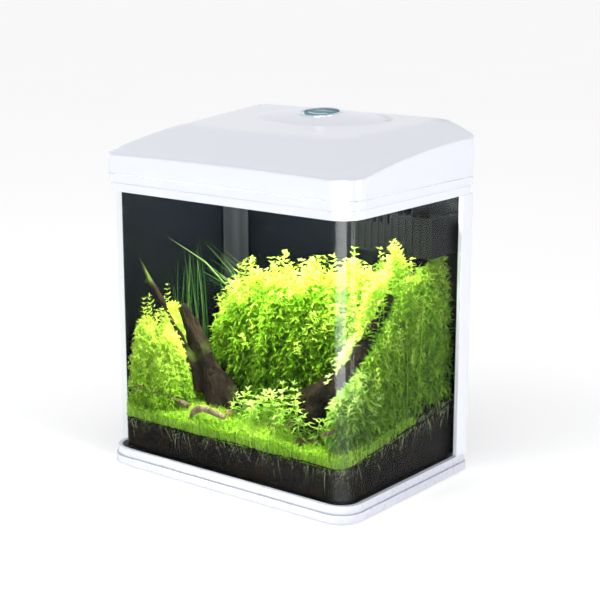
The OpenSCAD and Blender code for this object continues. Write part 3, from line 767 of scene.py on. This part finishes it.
def whorls(at, axis, count, length, width, tint):
    """Rosettes of count leaves round an axis at each point, with leaves of its length and tint."""
    n = len(at)
    axis = unit(axis)
    across = unit(np.cross(axis, unit(rng.normal(0, 1, (n, 3)))))
    other = np.cross(axis, across)
    found = []
    for i in range(count):
        angle = (2 * math.pi * i / count + rng.normal(0, 0.3, n))[:, None]
        rise = rng.normal(0.45, 0.35, (n, 1))
        out = across * np.cos(angle) + other * np.sin(angle) + axis * rise
        size = length * rng.uniform(0.7, 1.15, n)
        found.append(leaves(at + axis * (length * 0.12 * i / count)[:, None], out, size, size * width,
                            np.clip(tint + rng.normal(0, 0.07, n), 0.02, 0.97)))
    return [np.concatenate(part) for part in zip(*found)]


STICK = [(87, 10, 146, 8), (86, -4, 126, 8), (84, -16, 110, 8), (78, -31, 91, 8), (66, -34, 78, 8)]
TRUNK = [(-77, -28, 122, 8), (-65, -28, 99, 9), (-50, -28, 70, 12), (-38, -28, 48, 14)]


def hides_wood(points):
    """True where a point would stand in front of the bare wood, seen from the camera's side."""
    side = np.array((math.cos(VIEW_AZIMUTH), math.sin(VIEW_AZIMUTH), 0))
    toward = np.array((math.sin(VIEW_AZIMUTH), -math.cos(VIEW_AZIMUTH), 0.235))
    rise = np.cross(toward, side) * -1
    hidden = np.zeros(len(points), bool)
    for line in (STICK, TRUNK):
        for a, b in zip(line, line[1:]):
            for t in np.linspace(0, 1, 6):
                spot = (np.array(a) * (1 - t) + np.array(b) * t) * MM
                gap = points - spot[:3]
                near = np.hypot(gap @ side, gap @ rise) < spot[3] * 0.85
                hidden |= near & (gap @ toward > -0.004)
    return hidden


def foliage(name, clumps, material, replaces=(), per_clump=1500, length=0.0062, width=0.24, count=5,
            sprigs=26, bright=0.0, low_edge=0.12):
    """Domes of leaf rosettes, dense at the skin and painted dark inside as shade, with sprigs rising out of
    the top; painted light brightens the tops and the outer skin.
    """
    at, axis, tint, size = [], [], [], []
    for x, y, rx, ry, top in clumps:
        n = per_clump
        angle = rng.uniform(0, 2 * math.pi, n)
        radius = np.sqrt(rng.uniform(0, 1, n))
        wobble = 1 + 0.10 * np.sin(3 * angle + x * 90) + 0.07 * np.sin(7 * angle + y * 130)
        px = x + rx * radius * np.cos(angle) * wobble
        py = y + ry * radius * np.sin(angle) * wobble
        px, py = off_the_glass(px, py)
        foot = soil_z(py)
        dome = (1 - radius ** 2.2) ** 0.66
        deep = rng.uniform(0, 1, n) ** 1.5
        u = 1 - (1 - low_edge) * deep
        lumps = np.array([noise.noise(Vector((a * 70, b * 70, x * 9))) for a, b in zip(px, py)])
        pz = foot + (top - foot) * np.clip(dome * (1 + 0.09 * lumps), 0.05, 1.1) * u
        at.append(np.column_stack([px, py, pz]))
        outward = radius * 1.3
        skin = np.column_stack([np.cos(angle) * outward, np.sin(angle) * outward, 0.55 + 0.6 * (1 - radius)])
        axis.append(skin + rng.normal(0, 0.38, (n, 3)))
        level = (pz - foot) / (top - foot)
        # Leaf tint: painted shade deep inside and low in the dome, painted light on its top and outer skin,
        # with random lumps and noise; bright is added to every leaf, painted light where above zero and
        # painted shade where below.
        tint.append(np.clip(0.03 + 0.62 * level ** 1.5 * u + 0.22 * radius * level + 0.10 * lumps + bright
                            + rng.normal(0, 0.10, n), 0.02, 0.95))
        size.append(np.full(n, length) * rng.uniform(0.75, 1.2, n))
        for _ in range(sprigs):
            a, r = rng.uniform(0, 2 * math.pi), math.sqrt(rng.uniform(0, 1)) * 0.9
            sx, sy = x + rx * r * math.cos(a), y + ry * r * math.sin(a)
            base = soil_z(sy) + (top - soil_z(sy)) * (1 - r ** 2.2) ** 0.66
            rise = rng.uniform(0.004, 0.016)
            lean = np.array((math.cos(a) * r, math.sin(a) * r, 0)) * 0.5 + rng.normal(0, 0.12, 3)
            stages = np.arange(0, rise + 0.004, 0.0034)
            for q, h in enumerate(stages):
                at.append(np.array([[sx, sy, base]]) + (lean + np.array((0, 0, 1.0))) * h)
                axis.append(np.array([lean + np.array((0, 0, 1.0))]))
                # Sprig leaves are painted lighter towards the sprig's tip: painted light.
                tint.append(np.array([min(0.97, 0.62 + 0.28 * (q + 1) / len(stages) + bright)]))
                size.append(np.array([length * (1.0 - 0.35 * q / len(stages))]))
    at, axis, tint, size = (np.concatenate(v) for v in (at, axis, tint, size))
    clear = ~hides_wood(at)
    at, axis, tint, size = at[clear], axis[clear], tint[clear], size[clear]
    paths, widths, side, tints = whorls(at, axis, count, size, width, tint)
    ribbons(name, keep_inside(paths), widths, side, tints, "tank", material, replaces)


def mm(rows):
    """Rows of millimetres as rows of metres."""
    return [tuple(v * MM for v in row) for row in rows]


def make_plants(materials):
    leaf, pale, reed, root = (materials[k] for k in ("leaf", "leaf_pale", "reed", "root"))
    big = mm([(-54, 8, 25, 22, 122), (-32, 0, 27, 24, 144), (-4, 0, 27, 24, 150), (22, 2, 25, 22, 151),
              (44, 6, 24, 20, 152)])
    right_front = mm([(93, -12, 16, 24, 152), (94, 9, 16, 22, 172), (66, 8, 22, 22, 157)])
    right_low = mm([(95, -46, 13, 16, 100), (88, -30, 13, 16, 112)])
    right_rear = mm([(94, 42, 16, 22, 162), (96, 60, 14, 13, 162), (58, 46, 22, 20, 158),
                     (30, 40, 22, 20, 152)])
    left = mm([(-94, -52, 16, 18, 112), (-74, -50, 17, 16, 102), (-95, -22, 14, 20, 114),
               (-84, -38, 14, 16, 108)])
    rear = mm([(-82, 46, 24, 20, 122), (-40, 46, 28, 20, 132), (-4, 44, 26, 20, 142)])
    # Each bush's bright value is painted light for the bushes that the lamp reaches too little, and painted
    # shade for the back bush.
    foliage("rear_bush", big, leaf, ["rear_plants"], per_clump=1800, length=0.0058, sprigs=20)
    foliage("right_bush", right_front, leaf, ["right_plants"], per_clump=2800, length=0.0058, bright=0.2,
            low_edge=0.3)
    foliage("right_low_bush", right_low, pale, length=0.0070, width=0.27, per_clump=700, bright=0.02)
    foliage("right_rear_bush", right_rear, leaf, per_clump=1400, bright=0.18, low_edge=0.3, sprigs=0)
    foliage("left_bush", left, leaf, ["left_plants"], per_clump=2400, length=0.0042, width=0.24, bright=0.42,
            sprigs=10, low_edge=0.3)
    foliage("back_bush", rear, leaf, per_clump=700, bright=-0.08)
    low_sites = mm([(22, -48, 15, 9, 74), (42, -47, 14, 10, 86), (2, -44, 13, 9, 72), (64, -54, 12, 8, 66)])
    stem_bush("front_sprigs", low_sites, pale, spacing=0.0066, step=0.0042, length=0.0078,
              width=0.0022, bare=0.25, lean=0.9)
    tall_sites = mm([(94, 8, 12, 20, 186), (70, 8, 20, 16, 170), (96, -14, 9, 18, 170),
                     (30, 8, 30, 14, 162)])
    stem_bush("tall_sprigs", tall_sites, leaf, spacing=0.0105, step=0.0040, length=0.0062,
              width=0.0017, bare=0.6, lean=0.3)
    make_carpet(leaf)
    make_reeds(reed)
    make_roots(root)


def make_carpet(leaf):
    """Short grass and small leaves over the front of the soil."""
    low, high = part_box("bottom_glass")
    n = 26000
    x = rng.uniform(low.x, high.x, n)
    y = low.y + (high.y - low.y) * 0.62 * rng.uniform(0, 1, n) ** 1.15
    swell = np.array([noise.noise(Vector((a * 28, b * 28, 3.1))) for a, b in zip(x, y)])
    foot = np.column_stack([x, y, soil_z(y) - 0.001 + swell * 0.002])
    tall = (0.0095 + 0.0050 * swell) * rng.uniform(0.6, 1.3, n)
    tip = foot + np.column_stack([rng.normal(0, 0.0028, n), rng.normal(0, 0.0028, n), tall])
    tint = np.clip(0.56 + 0.35 * swell + rng.normal(0, 0.17, n), 0.05, 0.95)
    blades("carpet_grass", foot, tip, rng.uniform(0.0006, 0.0012, n), tint, leaf,
           stations=4, replaces=["carpet_plants"])
    n = 16000
    x = rng.uniform(low.x, high.x, n)
    y = low.y + (high.y - low.y) * 0.6 * rng.uniform(0, 1, n)
    swell = np.array([noise.noise(Vector((a * 28, b * 28, 3.1))) for a, b in zip(x, y)])
    at = np.column_stack([x, y, soil_z(y) + 0.002 + (0.006 + 0.004 * swell) * rng.uniform(0.3, 1.0, n)])
    angle = rng.uniform(0, 6.28, n)
    out = np.column_stack([np.cos(angle), np.sin(angle), rng.uniform(0.1, 1.0, n)])
    size = rng.uniform(0.0028, 0.0050, n)
    tint = np.clip(0.54 + 0.35 * swell + rng.normal(0, 0.16, n), 0.05, 0.95)
    paths, widths, side, tints = leaves(at, out, size, size * 0.32, tint)
    ribbons("carpet_leaves", keep_inside(paths), widths, side, tints, "tank", leaf)


def spots(n, *spans):
    """n random points, each coordinate within its own span of metres."""
    return np.column_stack([rng.uniform(low, high, n) for low, high in spans])


def make_reeds(reed):
    """Long blades that fan up and left from behind the trunk, and upright grass by the left pane."""
    n = 22
    foot = np.column_stack([rng.uniform(-0.045, -0.02, n), rng.uniform(0.024, 0.036, n), np.full(n, 0.052)])
    tip = spots(n, (-0.106, -0.048), (-0.022, 0.012), (0.138, 0.170))
    blades("reed_leaves", foot, tip, rng.uniform(0.0008, 0.0013, n), rng.uniform(0.1, 1.0, n), reed,
           rise=(0.012, 0.004, 0.034), spread=0.003, replaces=["reed_plants"])
    n = 30
    foot = np.column_stack([spots(n, (-0.106, -0.088), (-0.010, 0.025)), np.full(n, 0.046)])
    drift = rng.normal(0.0, 0.008, n)
    back = rng.normal(-0.004, 0.008, n)
    tip = foot + np.column_stack([drift, back, rng.uniform(0.080, 0.118, n)])
    width = rng.uniform(0.0006, 0.0010, n)
    blades("side_grass", foot, tip, width, rng.uniform(0.15, 0.55, n), reed, spread=0.003)


def make_corner_strip(materials):
    """Dark curved cover over the sealed rear left corner, inside the tank."""
    low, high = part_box("bottom_glass")
    bottom, top = high.z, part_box("bent_glass")[1].z - 0.008
    r = 0.006
    plan = [(low.x + 0.0004, high.y - 0.017 - 0.0003 * i) for i in (3, 0)]
    plan += [(low.x + 0.0006 + r * (1 - math.cos(a)), high.y - 0.0035 - r + r * math.sin(a))
             for a in np.linspace(0, math.pi / 2, 9)]
    plan += [(low.x + r + 0.007, high.y - 0.0034), (low.x + r + 0.0075, high.y - 0.0028)]
    plan = np.array(plan)
    heights = np.linspace(bottom, top, 40)
    verts = np.concatenate([np.column_stack([plan, np.full(len(plan), z)]) for z in heights])
    n = len(plan)
    first = [k * n + i for k in range(len(heights) - 1) for i in range(n - 1)]
    faces = [[a, a + 1, a + n + 1, a + n] for a in first]
    strip = new_piece("corner_cover", verts, faces, "tank", materials["corner_grey"])
    thick = strip.modifiers.new("thickness", "SOLIDIFY")
    thick.thickness = 0.0005
    apply_modifiers(strip)


def make_roots(root):
    """Pale roots and runners against the inside of the front and right panes."""
    low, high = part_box("bottom_glass")
    n = 900
    run = rng.uniform(0, 1, n)
    front = run < 0.55
    gap = rng.uniform(0.0003, 0.0012, n)
    x = np.where(front, low.x + (high.x - low.x) * run / 0.55, high.x - gap)
    y = np.where(front, low.y + gap, low.y + (high.y - low.y) * (run - 0.55) / 0.45)
    top = soil_z(y) + rng.uniform(-0.003, 0.005, n)
    foot = np.column_stack([x, y, top])
    drift = rng.normal(0, 0.006, n)
    fall = -0.004 - 0.016 * rng.uniform(0, 1, n) ** 2
    tip = foot + np.column_stack([np.where(front, drift, 0), np.where(front, 0, drift), fall])
    blades("roots", foot, tip, rng.uniform(0.00022, 0.0005, n), rng.uniform(0.1, 1.0, n), root,
           stations=7, spread=0.0022)


# ---------------------------------------------------------------- wood, stones, soil

def tube(points, sides=20, per_gap=8):
    """Closed tube through points (x, y, z, radius), in metres, along a smooth curve."""
    p = np.array(points, float) * MM
    ext = np.vstack([2 * p[0] - p[1], p, 2 * p[-1] - p[-2]])
    line = []
    for i in range(1, len(ext) - 2):
        for t in np.linspace(0, 1, per_gap, endpoint=False):
            a, b, c, d = ext[i - 1:i + 3]
            line.append(0.5 * ((2 * b) + (c - a) * t + (2 * a - 5 * b + 4 * c - d) * t * t
                               + (3 * b - a - 3 * c + d) * t ** 3))
    line.append(p[-1])
    line = np.array(line)
    verts = []
    side = np.array((1.0, 0.2, 0.1))
    for i, q in enumerate(line):
        ahead = line[min(i + 1, len(line) - 1), :3] - line[max(i - 1, 0), :3]
        ahead = ahead / np.linalg.norm(ahead)
        side = side - ahead * (side @ ahead)
        side = side / np.linalg.norm(side)
        other = np.cross(ahead, side)
        for s in range(sides):
            a = 2 * math.pi * s / sides
            verts.append(q[:3] + (side * math.cos(a) + other * math.sin(a)) * q[3])
    rows = len(line)
    faces = ring_faces(rows, sides).tolist()
    faces.append(list(reversed(range(sides))))
    faces.append([(rows - 1) * sides + s for s in range(sides)])
    return np.array(verts), faces


def knobbly(name, chains, voxel, rough, scale, stretch, material, replaces=(), tilt=0.0):
    """Wood from tapered tubes, fused, then roughened along its grain."""
    verts, faces = [], []
    for chain in chains:
        v, f = tube(chain)
        start = sum(len(x) for x in verts)
        verts.append(v)
        faces.extend([[i + start for i in face] for face in f])
    piece = new_piece(name, np.concatenate(verts), faces, "tank", material)
    remesh = piece.modifiers.new("fuse", "REMESH")
    remesh.mode = "VOXEL"
    remesh.voxel_size = voxel
    apply_modifiers(piece)
    roughen(piece, rough, scale, stretch, tilt)
    if replaces:
        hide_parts(*replaces)


def mesh_arrays(mesh):
    """Places and normals of a mesh's vertices."""
    places = np.empty(len(mesh.vertices) * 3, np.float32)
    normals = np.empty_like(places)
    mesh.vertices.foreach_get("co", places)
    mesh.vertex_normals.foreach_get("vector", normals)
    return places.reshape(-1, 3).astype(float), normals.reshape(-1, 3).astype(float)


def set_places(mesh, places):
    mesh.vertices.foreach_set("co", places.astype(np.float32).ravel())
    mesh.update()


def roughen(piece, depth, scale, stretch=(1, 1, 1), tilt=0.0):
    """Moves a piece's vertices along their normals by layered noise."""
    mesh = piece.data
    places, normals = mesh_arrays(mesh)
    turn = np.array(Matrix.Rotation(math.radians(tilt), 3, "Y"))
    at = (places @ turn.T) * np.array(stretch) * scale
    rise = np.array([noise.fractal(Vector(p), 1.0, 2.1, 5) + 0.5 * abs(noise.noise(Vector(p * 3.1)))
                     for p in at])
    places = places + normals * (rise * depth)[:, None]
    set_places(mesh, places)
    shade_smooth(piece)


def make_wood(materials):
    dark, twig = materials["driftwood"], materials["pale_twig"]
    knobbly("left_driftwood", [
        [(-78, -28, 119, 1.8), (-74, -28, 112, 4.2), (-67, -28, 100, 5.0), (-60, -28, 86, 6.4),
         (-52, -28, 74, 6.8), (-46, -28, 64, 10.5), (-36, -28, 48, 15)],
        [(-81, -30, 117, 1.4), (-76, -29, 111, 3.0), (-68, -29, 94, 2.6), (-61, -31, 76, 4.5),
         (-58, -33, 56, 7)],
        [(-50, -30, 70, 6), (-34, -30, 60, 5), (-22, -32, 50, 4)],
        [(-66, -26, 111, 1.6), (-64, -27, 102, 3.2), (-54, -28, 84, 4.5)],
        [(-44, -30, 66, 9), (-28, -34, 54, 6), (-14, -38, 47, 3)],
        [(-105, -47, 156, 0.9), (-102, -46, 149, 1.3), (-96, -45, 138, 1.5), (-91, -43, 130, 1.9),
         (-88, -42, 125, 3.4), (-84, -41, 117, 2.0), (-76, -40, 104, 2.2), (-68, -38, 90, 2.6),
         (-62, -35, 74, 3.6)],
        [(-97, -45, 140, 1.2), (-101, -46, 137, 0.8)],
    ], 0.0009, 0.0031, 85, (1, 1, 0.3), dark, ["driftwood_left"], LEFT_LEAN)
    knobbly("right_driftwood", [
        [(87, 10, 143, 3.2), (86, -4, 126, 4.4), (84, -16, 110, 5.4), (78, -31, 91, 7.5),
         (60, -34, 76, 9.5), (44, -32, 63, 10), (32, -30, 48, 9)],
        [(60, -34, 76, 7), (54, -38, 60, 10), (50, -40, 48, 12)],
    ], 0.0009, 0.0026, 90, (1, 1, 0.25), materials["driftwood_lean"], ["driftwood_right"],
        RIGHT_LEAN)
    knobbly("twigs", [
        [(-99, -64, 53, 1.2), (-95, -64, 58, 1.6), (-88, -64, 60, 1.8), (-72, -61, 58, 1.6),
         (-50, -55, 50, 2)],
        [(-8, -62, 51, 1.8), (-20, -63, 54, 2.4), (-34, -63, 53, 2.6), (-39, -65, 46, 1.6),
         (-43, -67, 36, 1.1)],
        [(80, -62, 55, 1.2), (90, -57, 60, 1.6), (97, -46, 58, 1.4), (98, -34, 57, 1.6),
         (97, -14, 58, 1.4), (97, 0, 61, 1.7), (98, 12, 60, 1.2), (97, 22, 58, 0.9)],
        [(97, 0, 61, 1.2), (94, 5, 64, 0.8)],
        [(95, 56, 54, 2.6), (96, 61, 68, 2.6), (97, 66, 82, 1.8)],
    ], 0.0007, 0.0007, 120, (1, 1, 1), twig, ["wood_twigs"])
    pale_line = [(98, 24, 80, 1.4), (98, 40, 84, 1.2), (99, 62, 87, 0.8)]
    knobbly("light_twig", [pale_line], 0.0006, 0.0005, 120, (1, 1, 1), twig)


def make_stones(materials):
    places = [(30, -52, 8), (57, -54, 7), (-20, -44, 7), (42, -44, 9), (66, -48, 6)]
    pieces = []
    for x, y, r in places:
        centre = Vector((x * MM, y * MM, soil_z(y * MM) + 0.4 * r * MM))
        bpy.ops.mesh.primitive_ico_sphere_add(subdivisions=5, radius=r * MM, location=centre)
        ball = bpy.context.object
        ball.data.transform(ball.matrix_world)
        ball.matrix_world = Matrix.Identity(4)
        pieces.append(ball)
    bpy.ops.object.select_all(action="DESELECT")
    for ball in pieces:
        ball.select_set(True)
    bpy.context.view_layer.objects.active = pieces[0]
    bpy.ops.object.join()
    stones = pieces[0]
    stones.name = "scape_stones"
    stones.data.materials.append(materials["stone"])
    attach(stones, "tank")
    roughen(stones, 0.0035, 75, (1, 1, 1.5))
    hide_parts("stones")


def make_soil(materials):
    """Soil with a rolling top and a granular face against the panes."""
    low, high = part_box("soil_bed")
    base = outline(high.x - low.x, high.y - low.y, 0.0115, 0.002, arc=14, along=110)
    base[:, 1] += (high.y + low.y) / 2
    top = soil_z(base[:, 1])
    rows = []
    levels = 26
    for t in np.linspace(0, 1, levels):
        rows.append(np.column_stack([base, low.z + (top - low.z) * t]))
    centre = np.array((0.0, (high.y + low.y) / 2))
    for t in np.linspace(0, 1, 62)[1:-1]:
        flat = base + (centre - base) * t
        rows.append(np.column_stack([flat, soil_z(flat[:, 1])]))
    count = len(base)
    verts = np.concatenate(rows)
    faces = ring_faces(len(rows), count).tolist()
    for row in (0, len(rows) - 1):
        tip = len(verts)
        verts = np.vstack([verts, verts[row * count:(row + 1) * count].mean(0)])
        for c in range(count):
            a, b = row * count + c, row * count + (c + 1) % count
            faces.append([a, b, tip] if row else [b, a, tip])
    soil = new_piece("planting_soil", verts, faces, "tank", materials["soil"])
    places, normals = mesh_arrays(soil.data)
    grain = np.array([noise.noise(Vector(p * 380)) + 0.6 * noise.noise(Vector(p * 900)) for p in places])
    swell = np.array([noise.noise(Vector((p[0] * 34, p[1] * 34, 1.7))) for p in places])
    lift = np.clip((places[:, 2] - low.z) / 0.03, 0, 1)
    inward = np.where(normals[:, 2] > 0.5, grain * 0.0009, -0.0004 - 0.0012 * np.abs(grain))
    places = places + normals * inward[:, None]
    places[:, 2] += swell * lift * 0.0022
    places[:, 2] = np.maximum(places[:, 2], low.z)
    set_places(soil.data, places)
    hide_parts("soil_bed")


# ---------------------------------------------------------------- filter media

def foam_block(name, node, material, corner, pitted):
    """Cut block of foam in a node's place: soft corners, a pitted skin, never larger than the node."""
    low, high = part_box(node)
    centre, half = np.array((low + high) / 2), np.array((high - low) / 2)
    steps = np.linspace(-1, 1, 27)
    corners, faces, found = [], [], {}
    for axis in range(3):
        for sign in (-1, 1):
            grid = np.empty((27, 27), int)
            for i, a in enumerate(steps):
                for j, b in enumerate(steps):
                    spot = [0, 0, 0]
                    spot[axis], spot[(axis + 1) % 3], spot[(axis + 2) % 3] = sign, a, b
                    key = tuple(round(v, 4) for v in spot)
                    if key not in found:
                        found[key] = len(corners)
                        corners.append(spot)
                    grid[i, j] = found[key]
            for i in range(26):
                for j in range(26):
                    face = [grid[i, j], grid[i + 1, j], grid[i + 1, j + 1], grid[i, j + 1]]
                    faces.append([int(v) for v in (face if sign > 0 else face[::-1])])
    full = np.array(corners) * half
    inner = np.clip(full, -(half - corner), half - corner)
    verts = centre + inner + unit(full - inner) * corner
    block = new_piece(name, verts, faces, "basket", material)
    places, normals = mesh_arrays(block.data)
    pits = np.array([abs(noise.noise(Vector(p * 700))) + abs(noise.noise(Vector(p * 260))) for p in places])
    places = places - normals * (pits * pitted)[:, None]
    set_places(block.data, places)
    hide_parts(node)


def make_media(materials):
    foam_block("sponge_block", "filter_sponge", materials["sponge"], 0.0012, 0.0007)
    foam_block("floss_pad", "filter_floss", materials["floss"], 0.0020, 0.0011)


# ---------------------------------------------------------------- CAD nodes

def finish_cad_nodes(materials):
    """Gives every CAD node that still shows its own material, and softens moulded edges."""
    slot_of = {row["node"]: row["material_slot"] for row in frame["record"]["subparts"]}
    soft_edges = {"base_tray": 0.0008, "top_rim": 0.0007, "corner_post_left": 0.0006,
                  "corner_post_right": 0.0006, "filter_cabinet": 0.0003, "media_basket": 0.0002,
                  "lamp_tray": 0.0003, "lamp_lens": 0.0004, "hinge_knuckles": 0.0003,
                  "foot_pads": 0.0004, "switch_rocker": 0.0003, "outlet_nozzle": 0.0003}
    for name, obj in NODES.items():
        obj.data.materials.clear()
        # The base tray takes the darker copy of the white plastic, which paints its shade.
        obj.data.materials.append(materials["base_plastic_shaded" if name == "base_tray" else slot_of[name]])
        if name in soft_edges:
            weld = obj.modifiers.new("weld", "WELD")
            weld.merge_threshold = 0.00001
            bevel = obj.modifiers.new("soft_edges", "BEVEL")
            bevel.width = soft_edges[name]
            bevel.segments = 3
            bevel.limit_method = "ANGLE"
            bevel.angle_limit = math.radians(40)
            bevel.harden_normals = False


make_camera()
make_stage()
all_materials = make_materials()
finish_cad_nodes(all_materials)
make_hood(all_materials)
make_soil(all_materials)
make_wood(all_materials)
make_stones(all_materials)
make_plants(all_materials)
make_corner_strip(all_materials)
make_media(all_materials)
